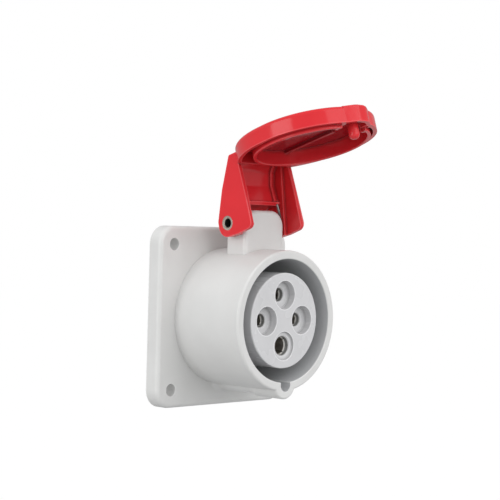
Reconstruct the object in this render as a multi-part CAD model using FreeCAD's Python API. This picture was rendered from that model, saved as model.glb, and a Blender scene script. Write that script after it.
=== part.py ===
import FreeCAD, Part
import math
import os
from FreeCAD import Vector

# Panel socket outlet, three poles and earth, with a hinged lid that stands open.
# Millimetres. The origin is the centre of the flange's rear plane, where the panel begins.
# +Z is up, the socket faces -Y and +X is to the right of someone who faces it.
# "Depth" is the distance in front of the panel, so y = -depth, and what is behind the panel is negative.

# Flange
FLANGE_SIDE = 75.0
FLANGE_DEPTH = 6.8
FLANGE_CORNER_R = 7.5
FLANGE_EDGE_R = 1.8
FLANGE_FRONT_WALL = 2.8
BOLT_INSET = 7.5
BOLT_HOLE_R = 2.6
BOLT_BOSS_R = 4.6
GROOVE_EDGE = 1.4
GROOVE_WIDTH = 2.3
GROOVE_DEPTH = 2.6
GROOVE_FIT = 0.05
FLANGE_INNER_EDGE = 1.3
RIB_THICKNESS = 1.4
RIB_SET_BACK = 0.8

# Barrel
BARREL_R = 28.75
BARREL_WALL = 3.5
BARREL_LENGTH = 36.4
BARREL_ROOT_R = 2.2
RIM_OUTER_R = 0.9
RIM_INNER_CHAMFER = 0.3
SHOULDER_WALL = 2.2
SHOULDER_LENGTH = 2.4
SEAT_DEPTH = 2.5

# Keyway for the plug's key, and the rib that the barrel bulges into round it
KEYWAY_HALF_WIDTH = 2.9
KEYWAY_DROP = 3.75
KEYWAY_LENGTH = 30.0
KEY_RIB_WALL = 3.1
KEY_RIB_RISE = 0.9
KEY_COLLAR_LENGTH = 14.0
KEY_COLLAR_RAMP = 2.4

# Hinge tower on top of the barrel
TOWER_BACK = 11.6
TOWER_FRONT = 22.6
TOWER_HALF_WIDTH = 11.4
TOWER_CROWN = 5.6
TOWER_CORNER_R = 6.8
TOWER_EDGE_R = 1.8
TOWER_CORE_WIDTH = 9.0
TOWER_CORE_WALL = 2.6
TOWER_CORE_DROP = 7.7
HINGE_FORWARD = 16.1
HINGE_HEIGHT = 39.2

# Contact carrier
CARRIER_R = 19.55
CARRIER_RECESS = 1.6
CARRIER_EDGE_R = 0.5
COLLAR_FIT = 0.1
PIN_CIRCLE_R = 10.4
RECESS_R = 5.9
PHASE_RECESS_DEPTH = 3.6
EARTH_RECESS_DEPTH = 1.0
FRONT_WEB = 2.2
SLEEVE_CAVITY_FIT = 0.4
PHASE_ENTRY_CLEARANCE = 0.12
EARTH_ENTRY_CLEARANCE = 0.32
ENTRY_TAPER = 0.13
ENTRY_CHAMFER = 0.45

# Contacts: sleeve for the pin in front, terminal body behind
PHASE_PIN_R = 2.5
EARTH_PIN_R = 3.5
PIN_FIT = 0.05
SLEEVE_WALL = 1.2
SLEEVE_SLOT_WIDTH = 0.6
SLEEVE_SLOT_LENGTH = 16.0
SLEEVE_SLOTS = 4
SLEEVE_BORE_LENGTH = 28.0
TERMINAL_STEP = 0.9
TERMINAL_LENGTH = 17.5
WIRE_BORE_R = 2.1
WIRE_BORE_LENGTH = 14.5
GRIP_RING_SET_BACK = 2.6
GRIP_RING_WIDTH = 1.5
GRIP_RING_SEAT = 0.45
GRIP_RING_THICKNESS = 0.6
GRIP_RING_GAP = 1.6

# Terminal block behind the carrier
BLOCK_R = 21.5
BLOCK_LENGTH = 16.5
BLOCK_RING_R = 28.2
BLOCK_RING_THICKNESS = 2.0
BLOCK_FLAT = 17.5
COLLAR_LENGTH = 3.5
TERMINAL_FIT = 0.2
SCREW_WINDOW = 5.6
TERMINAL_SCREW_SET_BACK = 9.5
EAR_R = 3.2
EAR_ROOT = 3.0
EAR_ANGLES = (45.0, 225.0)
EAR_HEAD_SEAT = 1.5
EAR_SCREW_LENGTH = 4.0

# Screws
TERMINAL_SCREW_R = 1.7
TERMINAL_SCREW_LENGTH = 5.2
TERMINAL_HEAD_R = 2.5
TERMINAL_HEAD_HEIGHT = 2.2
SMALL_SCREW_R = 1.2
SMALL_HEAD_R = 2.1
SMALL_HEAD_HEIGHT = 1.3
CENTRE_SCREW_R = 1.7
CENTRE_HEAD_R = 3.2
CENTRE_HEAD_HEIGHT = 2.2
CENTRE_HEAD_SINK = 0.8
CENTRE_SCREW_BITE = 8.5
SLOT_WIDTH = 0.8
SLOT_DEPTH = 0.8
SCREW_FIT = 0.05
HEAD_ROOM = 0.2

# Lid, described in its closed place over the barrel and then swung open about the hinge
OPEN_ANGLE = 107.5
LID_R = 26.9
SHOULDER_START = 5.0
SHOULDER_BULGE = 2.9
LID_WALL = 1.7
LID_GAP = 1.3
LID_HEIGHT = 6.9
LID_PLATE = 2.0
LID_CROWN = 0.7
LID_EDGE_R = 1.6
DOME_MARGIN = 0.6
RING_R = 24.1
RING_WALL = 1.5
RING_PROUD = 1.3
FLOOR_RIB_X = 8.0
FLOOR_RIB_WIDTH = 1.2
FLOOR_RIB_HEIGHT = 1.3
FLOOR_RIB_FOOT = -6.0
RETURN_START_X = 7.0
RETURN_START_Z = -20.2
RETURN_END_X = 8.6
RETURN_WALL = 1.4

# Thumb tab that covers the key rib, with the stud that drops into the keyway
TAB_HALF_WIDTH = 7.2
TAB_FOOT = 25.9
TAB_NOSE_HALF_WIDTH = 2.6
TAB_NOSE_R = 5.0
TAB_REACH = 28.9
TAB_WALL = 1.7
TAB_EDGE = 0.5
STUD_R = 2.2
STUD_Z = -22.4
STUD_LENGTH = 5.3

# Arms of the lid, as distances from the hinge axis when the lid is closed
ARM_OUTER_X = 15.8
ARM_WALL = 1.8
ARM_PAD_GAP = 1.3
HUB_R = 5.4
ARM_REACH = 26.6
ARM_BROW_FORWARD = 13.9
ARM_BROW_DROP = 0.45
ARM_NOSE_DROP = 7.9
ARM_UNDERSIDE_FRONT = 12.2
ARM_UNDERSIDE_BACK = 13.4
ARM_HEEL_BACK = 5.9
ARM_HEEL_RISE = 4.8
ARM_HEEL_R = 3.0
ARM_TOP_FORWARD = 1.9
PAD_FRONT_FORWARD = 20.6
PAD_FRONT_DROP = 9.2
PAD_BACK = 5.2
PAD_BACK_DROP = 4.3
WEB_THICKNESS = 1.7
WEB_NOSE_FORWARD = 25.0
WEB_NOSE_DROP = 8.8
WEB_CREST_FORWARD = 21.5
WEB_CREST_DROP = 5.2
WEB_BEND_FORWARD = 15.6
WEB_BEND_DROP = 3.7
WEB_END_FORWARD = 7.4
WEB_END_DROP = 4.2
WEB_RIB_X = 9.6
WEB_RIB_WIDTH = 0.9
WEB_RIB_HEIGHT = 0.8
HOOD_R = 8.1
HOOD_WALL = 1.6
HOOD_LOW_ANGLE = -30.0
HOOD_HIGH_ANGLE = 31.0
HOOD_TONGUE_HALF_WIDTH = 12.6
NECK_PLATE = 2.0

# Hinge pin, a riveted tube
HINGE_PIN_R = 2.4
HINGE_PIN_WALL = 0.65
PIN_FLARE_R = 2.95
PIN_FLARE_LENGTH = 0.5
PIN_TOWER_FIT = 0.02
PIN_ARM_FIT = 0.06

# Torsion spring in the right arm
SPRING_WIRE_R = 0.45
SPRING_COIL_GAP = 0.25
SPRING_TURNS = 2.25
SPRING_PITCH = 0.95
SPRING_POCKET_FIT = 0.35
SPRING_TOWER_GAP = 0.1
SPRING_LEG_LENGTH = 8.4
SPRING_LEG_ANGLE = 104.0
SPRING_LEG_TIP_X = 12.2
SPRING_TAIL = 3.0

# Places that follow from the sizes
HALF_SIDE = FLANGE_SIDE / 2
RIM_DEPTH = FLANGE_DEPTH + BARREL_LENGTH
BORE_R = BARREL_R - BARREL_WALL
SHOULDER_DEPTH = SEAT_DEPTH + COLLAR_LENGTH
FLANGE_FLOOR = FLANGE_DEPTH - FLANGE_FRONT_WALL
FACE_DEPTH = RIM_DEPTH - CARRIER_RECESS
HINGE_DEPTH = FLANGE_DEPTH + HINGE_FORWARD
BOLT_SHIFT = HALF_SIDE - BOLT_INSET
BOLT_PLACES = [(sx * BOLT_SHIFT, sz * BOLT_SHIFT) for sx in (-1, 1) for sz in (-1, 1)]
EAR_RADIUS = (BARREL_R + BOLT_SHIFT * math.sqrt(2) - BOLT_HOLE_R) / 2
TOWER_TOP = HINGE_HEIGHT + TOWER_CROWN
TOWER_CORE_FLOOR = HINGE_HEIGHT - TOWER_CORE_DROP
BLOCK_BACK = SEAT_DEPTH - BLOCK_LENGTH
CENTRE_HEAD_SEAT = BLOCK_BACK + CENTRE_HEAD_HEIGHT + CENTRE_HEAD_SINK
TERMINAL_SHOULDER = SHOULDER_DEPTH
TERMINAL_BACK = TERMINAL_SHOULDER - TERMINAL_LENGTH
TERMINAL_SCREW_Y = TERMINAL_SCREW_SET_BACK - SEAT_DEPTH
LIP_DEPTH = RIM_DEPTH + LID_GAP
LID_TOP = LIP_DEPTH + LID_HEIGHT
LID_FLOOR = LID_TOP - LID_PLATE
RING_LIP = LIP_DEPTH - RING_PROUD
KEYWAY_Z = -(BORE_R + KEYWAY_DROP - KEYWAY_HALF_WIDTH)
PAD_INNER_X = TOWER_HALF_WIDTH + ARM_PAD_GAP
ARM_INNER_X = ARM_OUTER_X - ARM_WALL
SPRING_COIL_R = HINGE_PIN_R + SPRING_COIL_GAP + SPRING_WIRE_R

# Contacts by name: angle seen from the front, pin radius, depth of the recess at the face
CONTACTS = {
    "phase_contact_1": (180.0, PHASE_PIN_R, PHASE_RECESS_DEPTH),
    "phase_contact_2": (90.0, PHASE_PIN_R, PHASE_RECESS_DEPTH),
    "phase_contact_3": (0.0, PHASE_PIN_R, PHASE_RECESS_DEPTH),
    "earth_contact": (270.0, EARTH_PIN_R, EARTH_RECESS_DEPTH),
}
ENTRY_CLEARANCE = {PHASE_PIN_R: PHASE_ENTRY_CLEARANCE, EARTH_PIN_R: EARTH_ENTRY_CLEARANCE}


def outline(corners, place):
    """Closed wire through the corners (u, v, radius), each rounded by its radius."""
    edges = []
    starts = []
    ends = []
    count = len(corners)
    for i in range(count):
        u, v, r = corners[i]
        before = corners[i - 1]
        after = corners[(i + 1) % count]
        back = Vector(before[0] - u, before[1] - v, 0).normalize()
        ahead = Vector(after[0] - u, after[1] - v, 0).normalize()
        half = back.getAngle(ahead) / 2
        here = Vector(u, v, 0)
        if r <= 0:
            starts.append(here)
            ends.append((here, None))
            continue
        run = r / math.tan(half)
        middle = here + (back + ahead).normalize() * (r / math.sin(half) - r)
        starts.append(here + back * run)
        ends.append((here + ahead * run, middle))
    for i in range(count):
        end, middle = ends[i]
        if middle is not None:
            arc = Part.Arc(place(*starts[i][:2]), place(*middle[:2]), place(*end[:2]))
            edges.append(arc.toShape())
        following = starts[(i + 1) % count]
        if end.distanceToPoint(following) > 1e-6:
            edges.append(Part.LineSegment(place(*end[:2]), place(*following[:2])).toShape())
    return Part.Wire(edges)


def front_prism(corners, d0, d1):
    """Prism of an outline seen from the front (x, z), from depth d0 to d1."""
    wire = outline(corners, lambda x, z: Vector(x, -d0, z))
    return Part.Face(wire).extrude(Vector(0, d0 - d1, 0))


def side_prism(corners, x0, x1):
    """Prism of an outline seen from the side (depth, z), from x0 to x1."""
    wire = outline(corners, lambda d, z: Vector(x0, -d, z))
    return Part.Face(wire).extrude(Vector(x1 - x0, 0, 0))


def turned(corners, x=0.0, z=0.0):
    """Body turned about a forward axis through (x, z) from an outline of (radius, depth)."""
    wire = outline(corners, lambda r, d: Vector(x + r, -d, z))
    return Part.Face(wire).revolve(Vector(x, 0, z), Vector(0, 1, 0), 360)


def rod(r, d0, d1, x=0.0, z=0.0):
    """Cylinder along the depth axis."""
    return Part.makeCylinder(r, abs(d1 - d0), Vector(x, -min(d0, d1), z), Vector(0, -1, 0))


def cross_rod(r, x0, x1, d, z):
    """Cylinder along X."""
    return Part.makeCylinder(r, x1 - x0, Vector(x0, -d, z), Vector(1, 0, 0))


def square(half, corner_r):
    """Corners of a square about the axis."""
    return [(-half, -half, corner_r), (half, -half, corner_r), (half, half, corner_r), (-half, half, corner_r)]


def slab(x0, x1, z0, z1, r=0.0):
    """Corners of a rectangle seen from the front."""
    return [(x0, z0, r), (x1, z0, r), (x1, z1, r), (x0, z1, r)]


def polar(radius, degrees):
    """Place (x, z) at an angle seen from the front."""
    return radius * math.cos(math.radians(degrees)), radius * math.sin(math.radians(degrees))


def joined(shapes):
    """One solid made of several that meet."""
    return shapes[0].fuse(shapes[1:]).removeSplitter()


def edges_where(shape, test):
    """Edges whose centre of mass passes the test."""
    return [e for e in shape.Edges if test(e)]


def flange_plate():
    """Square plate with a rounded front edge."""
    plate = front_prism(square(HALF_SIDE, FLANGE_CORNER_R), 0, FLANGE_DEPTH)
    front = edges_where(plate, lambda e: abs(e.CenterOfMass.y + FLANGE_DEPTH) < 1e-3)
    return plate.makeFillet(FLANGE_EDGE_R, front)


def flange_hollow():
    """Pocket behind the plate, inside the gasket groove's inner wall."""
    inset = GROOVE_EDGE + GROOVE_WIDTH + FLANGE_INNER_EDGE
    corner = max(FLANGE_CORNER_R - inset, 1.0)
    pocket = front_prism(square(HALF_SIDE - inset, corner), 0, FLANGE_FLOOR)
    keep = [rod(BARREL_R, 0, FLANGE_FLOOR)]
    keep += [rod(BOLT_BOSS_R, 0, FLANGE_FLOOR, x, z) for x, z in BOLT_PLACES]
    for angle in EAR_ANGLES:
        x, z = polar(EAR_RADIUS, angle)
        keep.append(rod(EAR_R, SEAT_DEPTH, FLANGE_FLOOR, x, z))
    for angle in range(0, 360, 45):
        rib = front_prism(slab(BARREL_R - 1, HALF_SIDE * 1.3, -RIB_THICKNESS / 2, RIB_THICKNESS / 2),
                          SEAT_DEPTH + RIB_SET_BACK, FLANGE_FLOOR)
        rib.rotate(Vector(0, 0, 0), Vector(0, 1, 0), -angle)
        keep.append(rib)
    return pocket.cut(keep)


def key_rib():
    """Bulge of the barrel round the keyway: a rib from the flange, then a collar that stands further out."""
    r = KEYWAY_HALF_WIDTH + KEY_RIB_WALL
    collar = RIM_DEPTH - KEY_COLLAR_LENGTH
    rib = rod(r, FLANGE_DEPTH / 2, collar, 0, KEYWAY_Z + KEY_RIB_RISE)
    low = Part.Wire(Part.makeCircle(r, Vector(0, KEY_COLLAR_RAMP - collar, KEYWAY_Z + KEY_RIB_RISE), Vector(0, 1, 0)))
    high = Part.Wire(Part.makeCircle(r, Vector(0, -collar, KEYWAY_Z), Vector(0, 1, 0)))
    return [rib, Part.makeLoft([low, high], True, True), rod(r, collar, RIM_DEPTH, 0, KEYWAY_Z)]


def hinge_tower():
    """Block that carries the hinge pin, cored from behind."""
    d0 = FLANGE_DEPTH + TOWER_BACK
    d1 = FLANGE_DEPTH + TOWER_FRONT
    w = TOWER_HALF_WIDTH
    root = BORE_R * 0.8
    tower = front_prism([(-w, root, 0), (w, root, 0), (w, TOWER_TOP, TOWER_CORNER_R),
                         (-w, TOWER_TOP, TOWER_CORNER_R)], d0, d1)
    front = edges_where(tower, lambda e: abs(e.CenterOfMass.y + d1) < 1e-3 and e.CenterOfMass.z > root + 1)
    tower = tower.makeFillet(TOWER_EDGE_R, front)
    back = edges_where(tower, lambda e: abs(e.CenterOfMass.y + d0) < 1e-3 and e.CenterOfMass.z > root + 1)
    return tower.makeFillet(TOWER_EDGE_R * 0.5, back)


def tower_core():
    """Pocket in the tower's back, between two walls that hold the pin."""
    half = TOWER_CORE_WIDTH / 2
    d0 = FLANGE_DEPTH + TOWER_BACK - 1
    d1 = FLANGE_DEPTH + TOWER_FRONT - TOWER_CORE_WALL
    return front_prism(slab(-half, half, TOWER_CORE_FLOOR, TOWER_TOP - TOWER_CORE_WALL, 1.0), d0, d1)


def housing():
    """Flange, barrel, key rib and hinge tower, moulded in one."""
    barrel = rod(BARREL_R, SEAT_DEPTH, RIM_DEPTH)
    tube = joined([barrel] + key_rib())
    body = joined([flange_plate().cut(flange_hollow()), tube])
    root = edges_where(body, lambda e: abs(e.CenterOfMass.y + FLANGE_DEPTH) < 1e-3
                       and e.BoundBox.DiagonalLength < FLANGE_SIDE * 0.95)
    body = body.makeFillet(BARREL_ROOT_R, root)
    rim = edges_where(body, lambda e: abs(e.CenterOfMass.y + RIM_DEPTH) < 1e-3)
    body = body.makeFillet(RIM_OUTER_R, rim)
    body = joined([body, hinge_tower()])
    mouth = turned([(0, RIM_DEPTH - RIM_INNER_CHAMFER, 0), (BORE_R, RIM_DEPTH - RIM_INNER_CHAMFER, 0),
                    (BORE_R + 2 * RIM_INNER_CHAMFER, RIM_DEPTH + RIM_INNER_CHAMFER, 0),
                    (0, RIM_DEPTH + RIM_INNER_CHAMFER, 0)])
    cuts = [rod(BORE_R, SHOULDER_DEPTH + SHOULDER_LENGTH, RIM_DEPTH + 1),
            rod(BORE_R - SHOULDER_WALL, SHOULDER_DEPTH - 1, RIM_DEPTH),
            rod(BORE_R, -1, SHOULDER_DEPTH), mouth]
    keyway_start = RIM_DEPTH - KEYWAY_LENGTH
    cuts.append(rod(KEYWAY_HALF_WIDTH, keyway_start, RIM_DEPTH + 1, 0, KEYWAY_Z))
    cuts.append(front_prism(slab(-KEYWAY_HALF_WIDTH, KEYWAY_HALF_WIDTH, KEYWAY_Z, KEYWAY_Z / 2),
                            keyway_start, RIM_DEPTH + 1))
    cuts.append(rod(BARREL_R, -1, SEAT_DEPTH))
    cuts += [rod(BOLT_HOLE_R, -1, FLANGE_DEPTH + 1, x, z) for x, z in BOLT_PLACES]
    for angle in EAR_ANGLES:
        x, z = polar(EAR_RADIUS, angle)
        cuts.append(rod(SMALL_SCREW_R + SCREW_FIT, 0, EAR_HEAD_SEAT + EAR_SCREW_LENGTH + 0.3, x, z))
        cuts.append(rod(EAR_R + TERMINAL_FIT, -1, SEAT_DEPTH, x, z))
    cuts.append(groove(0))
    cuts.append(tower_core())
    w = TOWER_HALF_WIDTH + 1
    cuts.append(cross_rod(HINGE_PIN_R + PIN_TOWER_FIT, -w, w, HINGE_DEPTH, HINGE_HEIGHT))
    tail = coil_place(0, spring_tail_angle())
    cuts.append(cross_rod(SPRING_WIRE_R + SCREW_FIT, TOWER_HALF_WIDTH - SPRING_TAIL - 2 * SPRING_WIRE_R, w, -tail.y,
                          tail.z))
    return body.cut(cuts)


def groove(fit):
    """Square ring that runs round the flange's back; fit shrinks it to the gasket."""
    outer = HALF_SIDE - GROOVE_EDGE
    inner = outer - GROOVE_WIDTH
    corner = FLANGE_CORNER_R - GROOVE_EDGE
    ring = front_prism(square(outer - fit, corner - fit), 0 if fit else -1, GROOVE_DEPTH - fit)
    hole = front_prism(square(inner + fit, corner - GROOVE_WIDTH + fit), -2, GROOVE_DEPTH + 1)
    return ring.cut(hole)


def sleeve_r(pin_r):
    """Outer radius of the sleeve that takes a pin."""
    return pin_r + PIN_FIT + SLEEVE_WALL


def sleeve_mouth(recess):
    """Depth of the sleeve's mouth, behind the carrier's front web."""
    return FACE_DEPTH - recess - FRONT_WEB


def contact_carrier():
    """Insulating cylinder with the four pin entries in its face and the sleeves' cavities behind them."""
    body = turned([(0, SHOULDER_DEPTH, 0), (CARRIER_R, SHOULDER_DEPTH, 0), (CARRIER_R, FACE_DEPTH, CARRIER_EDGE_R),
                   (0, FACE_DEPTH, 0)])
    cuts = []
    for angle, pin_r, recess in CONTACTS.values():
        x, z = polar(PIN_CIRCLE_R, angle)
        floor = FACE_DEPTH - recess
        mouth = sleeve_mouth(recess)
        cuts.append(turned([(0, floor, 0), (RECESS_R, floor, 0.3), (RECESS_R, FACE_DEPTH, 0),
                            (RECESS_R + 0.4, FACE_DEPTH + 0.4, 0), (0, FACE_DEPTH + 0.4, 0)], x, z))
        entry_r = pin_r + ENTRY_CLEARANCE[pin_r]
        front_r = entry_r + ENTRY_TAPER
        cuts.append(turned([(0, mouth - 1, 0), (entry_r, mouth - 1, 0), (front_r, floor - ENTRY_CHAMFER, 0),
                            (front_r + 2 * ENTRY_CHAMFER, floor + ENTRY_CHAMFER, 0),
                            (0, floor + ENTRY_CHAMFER, 0)], x, z))
        cuts.append(rod(sleeve_r(pin_r) + SLEEVE_CAVITY_FIT, SHOULDER_DEPTH - 1, mouth, x, z))
    cuts.append(rod(CENTRE_SCREW_R + SCREW_FIT, SHOULDER_DEPTH - 1, SHOULDER_DEPTH + CENTRE_SCREW_BITE + 0.5))
    return body.cut(cuts)


def contact(angle, pin_r, recess):
    """Turned brass contact: slotted sleeve in front, terminal body with a wire bore behind."""
    x, z = polar(PIN_CIRCLE_R, angle)
    r = sleeve_r(pin_r)
    mouth = sleeve_mouth(recess)
    terminal_r = r + TERMINAL_STEP
    ring_front = mouth - GRIP_RING_SET_BACK
    ring_back = ring_front - GRIP_RING_WIDTH
    body = turned([(0, TERMINAL_BACK, 0), (terminal_r, TERMINAL_BACK, 0.4), (terminal_r, TERMINAL_SHOULDER, 0),
                   (r, TERMINAL_SHOULDER, 0), (r, ring_back, 0), (r - GRIP_RING_SEAT, ring_back, 0),
                   (r - GRIP_RING_SEAT, ring_front, 0), (r, ring_front, 0), (r, mouth, 0.4), (0, mouth, 0)], x, z)
    bore_r = pin_r + PIN_FIT
    cuts = [rod(bore_r, mouth - SLEEVE_BORE_LENGTH, mouth + 1, x, z)]
    lead = turned([(0, mouth - 0.3, 0), (bore_r, mouth - 0.3, 0), (bore_r + 0.6, mouth + 0.3, 0),
                   (0, mouth + 0.3, 0)], x, z)
    cuts.append(lead)
    half = SLEEVE_SLOT_WIDTH / 2
    for i in range(SLEEVE_SLOTS // 2):
        slit = front_prism(slab(-2 * r, 2 * r, -half, half), mouth - SLEEVE_SLOT_LENGTH, mouth + 1)
        slit.rotate(Vector(0, 0, 0), Vector(0, 1, 0), 45 + 360 / SLEEVE_SLOTS * i)
        slit.translate(Vector(x, 0, z))
        cuts.append(slit)
    cuts.append(rod(WIRE_BORE_R, TERMINAL_BACK - 1, TERMINAL_BACK + WIRE_BORE_LENGTH, x, z))
    cuts.append(radial_rod(TERMINAL_SCREW_R + SCREW_FIT, PIN_CIRCLE_R, PIN_CIRCLE_R + terminal_r + 1, angle))
    return body.cut(cuts)


def radial_rod(r, inner, outer, angle):
    """Cylinder that points away from the socket's axis, at the depth of the terminal screws."""
    x, z = polar(inner, angle)
    ux, uz = polar(1.0, angle)
    start = Vector(x, TERMINAL_SCREW_Y, z)
    return Part.makeCylinder(r, outer - inner, start, Vector(ux, 0, uz))


def grip_ring(angle, pin_r, recess):
    """Open steel ring that presses the sleeve's fingers together."""
    x, z = polar(PIN_CIRCLE_R, angle)
    inner = sleeve_r(pin_r) - GRIP_RING_SEAT + 0.02
    front = sleeve_mouth(recess) - GRIP_RING_SET_BACK - 0.05
    back = front - GRIP_RING_WIDTH + 0.1
    ring = rod(inner + GRIP_RING_THICKNESS, back, front, x, z).cut(rod(inner, back - 1, front + 1, x, z))
    half = GRIP_RING_GAP / 2
    gap = front_prism(slab(0, 3 * inner, -half, half), back - 1, front + 1)
    gap.rotate(Vector(0, 0, 0), Vector(0, 1, 0), -angle)
    gap.translate(Vector(x, 0, z))
    return ring.cut(gap)


def terminal_block():
    """Moulding behind the panel that holds the terminals, with a collar that seats on the barrel's shoulder."""
    ring_back = SEAT_DEPTH - BLOCK_RING_THICKNESS
    collar_r = BORE_R - COLLAR_FIT
    rear = front_prism(square(BLOCK_FLAT, 0), BLOCK_BACK, ring_back)
    rear.rotate(Vector(0, 0, 0), Vector(0, 1, 0), 45)
    rear = rear.common(rod(BLOCK_R, BLOCK_BACK, ring_back))
    front = turned([(0, ring_back, 0), (BLOCK_RING_R, ring_back, 0), (BLOCK_RING_R, SEAT_DEPTH, 0),
                    (collar_r, SEAT_DEPTH, 0), (collar_r, SHOULDER_DEPTH, 0), (0, SHOULDER_DEPTH, 0)])
    ears = []
    for angle in EAR_ANGLES:
        ear = front_prism([(BLOCK_RING_R - EAR_ROOT, -EAR_R, 0), (EAR_RADIUS + EAR_R, -EAR_R, EAR_R * 0.95),
                           (EAR_RADIUS + EAR_R, EAR_R, EAR_R * 0.95), (BLOCK_RING_R - EAR_ROOT, EAR_R, 0)],
                          ring_back, SEAT_DEPTH)
        ear.rotate(Vector(0, 0, 0), Vector(0, 1, 0), -angle)
        ears.append(ear)
    body = joined([rear, front] + ears)
    cuts = []
    half = SCREW_WINDOW / 2
    for angle, pin_r, recess in CONTACTS.values():
        x, z = polar(PIN_CIRCLE_R, angle)
        cavity_r = sleeve_r(pin_r) + TERMINAL_STEP + TERMINAL_FIT
        cuts.append(rod(cavity_r, BLOCK_BACK - 1, SHOULDER_DEPTH + 1, x, z))
        window = front_prism(slab(PIN_CIRCLE_R, BLOCK_R + 1, -half, half), -TERMINAL_SCREW_Y - half,
                             half - TERMINAL_SCREW_Y)
        window.rotate(Vector(0, 0, 0), Vector(0, 1, 0), -angle)
        cuts.append(window)
    cuts.append(rod(CENTRE_SCREW_R + 2 * SCREW_FIT, BLOCK_BACK - 1, SHOULDER_DEPTH + 1))
    cuts.append(rod(CENTRE_HEAD_R + HEAD_ROOM, BLOCK_BACK - 1, CENTRE_HEAD_SEAT))
    for angle in EAR_ANGLES:
        x, z = polar(EAR_RADIUS, angle)
        cuts.append(rod(SMALL_SCREW_R + 2 * SCREW_FIT, ring_back - 1, SEAT_DEPTH + 1, x, z))
        cuts.append(rod(SMALL_HEAD_R + HEAD_ROOM, ring_back - 1, EAR_HEAD_SEAT, x, z))
    return body.cut(cuts)


def slotted_screw(shank_r, head_r, head_height, length):
    """Screw along +X: head on the right of the origin, shank on the left, slot in the head."""
    head = Part.makeCylinder(head_r, head_height, Vector(0, 0, 0), Vector(1, 0, 0))
    rim = edges_where(head, lambda e: abs(e.CenterOfMass.x - head_height) < 1e-3)
    head = head.makeFillet(min(0.4, head_height * 0.3), rim)
    shank = Part.makeCylinder(shank_r, length, Vector(-length, 0, 0), Vector(1, 0, 0))
    tip = edges_where(shank, lambda e: abs(e.CenterOfMass.x + length) < 1e-3)
    shank = shank.makeChamfer(shank_r * 0.25, tip)
    slot = Part.makeBox(SLOT_DEPTH + 1, SLOT_WIDTH, 4 * head_r,
                        Vector(head_height - SLOT_DEPTH, -SLOT_WIDTH / 2, -2 * head_r))
    return joined([head, shank]).cut(slot)


def terminal_screw(angle, pin_r):
    """Screw that clamps the wire, pointing at the contact's axis."""
    screw = slotted_screw(TERMINAL_SCREW_R, TERMINAL_HEAD_R, TERMINAL_HEAD_HEIGHT, TERMINAL_SCREW_LENGTH)
    seat = PIN_CIRCLE_R + sleeve_r(pin_r) + TERMINAL_STEP
    screw.translate(Vector(seat + 0.1, 0, 0))
    screw.rotate(Vector(0, 0, 0), Vector(0, 1, 0), -angle)
    screw.translate(Vector(0, TERMINAL_SCREW_Y, 0))
    return screw


def rear_screw(shank_r, head_r, head_height, length, seat, x=0.0, z=0.0):
    """Screw driven forwards, with the underside of its head at depth seat."""
    screw = slotted_screw(shank_r, head_r, head_height, length)
    screw.rotate(Vector(0, 0, 0), Vector(0, 0, 1), 90)
    screw.translate(Vector(x, -seat, z))
    return screw


def lid_outline(inset):
    """Edge of the lid seen from the front: a circle whose shoulders run out to the arms' outer faces."""
    r = LID_R - inset
    start_x, start_z = polar(r, SHOULDER_START)
    outer_x, outer_z = polar(LID_R, SHOULDER_START)
    outer_start = Vector(outer_x, 0, outer_z)
    corner = Vector(ARM_OUTER_X, 0, HINGE_HEIGHT - ARM_UNDERSIDE_FRONT)
    chord = corner - outer_start
    normal = Vector(chord.z, 0, -chord.x).normalize()
    half_turn = math.degrees(2 * math.atan(SHOULDER_BULGE / (chord.Length / 2)))
    corner_normal = FreeCAD.Rotation(Vector(0, 1, 0), -half_turn).multVec(normal)
    middle = outer_start + chord * 0.5 + normal * (SHOULDER_BULGE - inset)
    corner = corner - corner_normal * inset
    right_start = Vector(start_x, 0, start_z)
    mirrored = [Vector(-v.x, 0, v.z) for v in (right_start, middle, corner)]
    edges = [Part.Arc(mirrored[0], Vector(0, 0, -r), right_start).toShape(),
             Part.Arc(right_start, middle, corner).toShape(),
             Part.LineSegment(corner, mirrored[2]).toShape(),
             Part.Arc(mirrored[2], mirrored[1], mirrored[0]).toShape()]
    return Part.Wire(edges)


def lid_prism(inset, d0, d1):
    """Prism of the lid's outline between two depths."""
    face = Part.Face(lid_outline(inset))
    face.translate(Vector(0, -d0, 0))
    return face.extrude(Vector(0, d0 - d1, 0))


def disc_cap():
    """Crowned lid with a short skirt, and the ring inside it that faces the barrel's mouth."""
    cap = lid_prism(0, LIP_DEPTH, LID_TOP)
    cap = cap.makeFillet(LID_EDGE_R, edges_where(cap, lambda e: abs(e.CenterOfMass.y + LID_TOP) < 1e-3))
    dome_r = LID_R - LID_EDGE_R - DOME_MARGIN
    ball_r = (dome_r ** 2 + LID_CROWN ** 2) / (2 * LID_CROWN)
    ball = Part.makeSphere(ball_r, Vector(0, ball_r - LID_TOP - LID_CROWN, 0))
    dome = rod(dome_r, LID_TOP - LID_PLATE / 2, LID_TOP + 2 * LID_CROWN).common(ball)
    hollow = lid_prism(LID_WALL, LIP_DEPTH - 1, LID_FLOOR)
    ring = turned([(RING_R - RING_WALL, RING_LIP, 0.5), (RING_R, RING_LIP, 0.5),
                   (RING_R, LID_FLOOR + 0.5, 0), (RING_R - RING_WALL, LID_FLOOR + 0.5, 0)])
    ring = ring.cut(front_prism(slab(-RETURN_START_X, RETURN_START_X, -LID_R, 0), RING_LIP - 1, LID_TOP))
    ribs = []
    for side in (-1, 1):
        x = side * FLOOR_RIB_X
        top = math.sqrt((RING_R - RING_WALL / 2) ** 2 - FLOOR_RIB_X ** 2)
        ribs.append(front_prism(slab(x - FLOOR_RIB_WIDTH / 2, x + FLOOR_RIB_WIDTH / 2, FLOOR_RIB_FOOT, top),
                                LID_FLOOR - FLOOR_RIB_HEIGHT, LID_FLOOR + 0.5))
        ribs.append(ring_return(side))
    return joined([cap.cut(hollow), dome, ring] + ribs)


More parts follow.
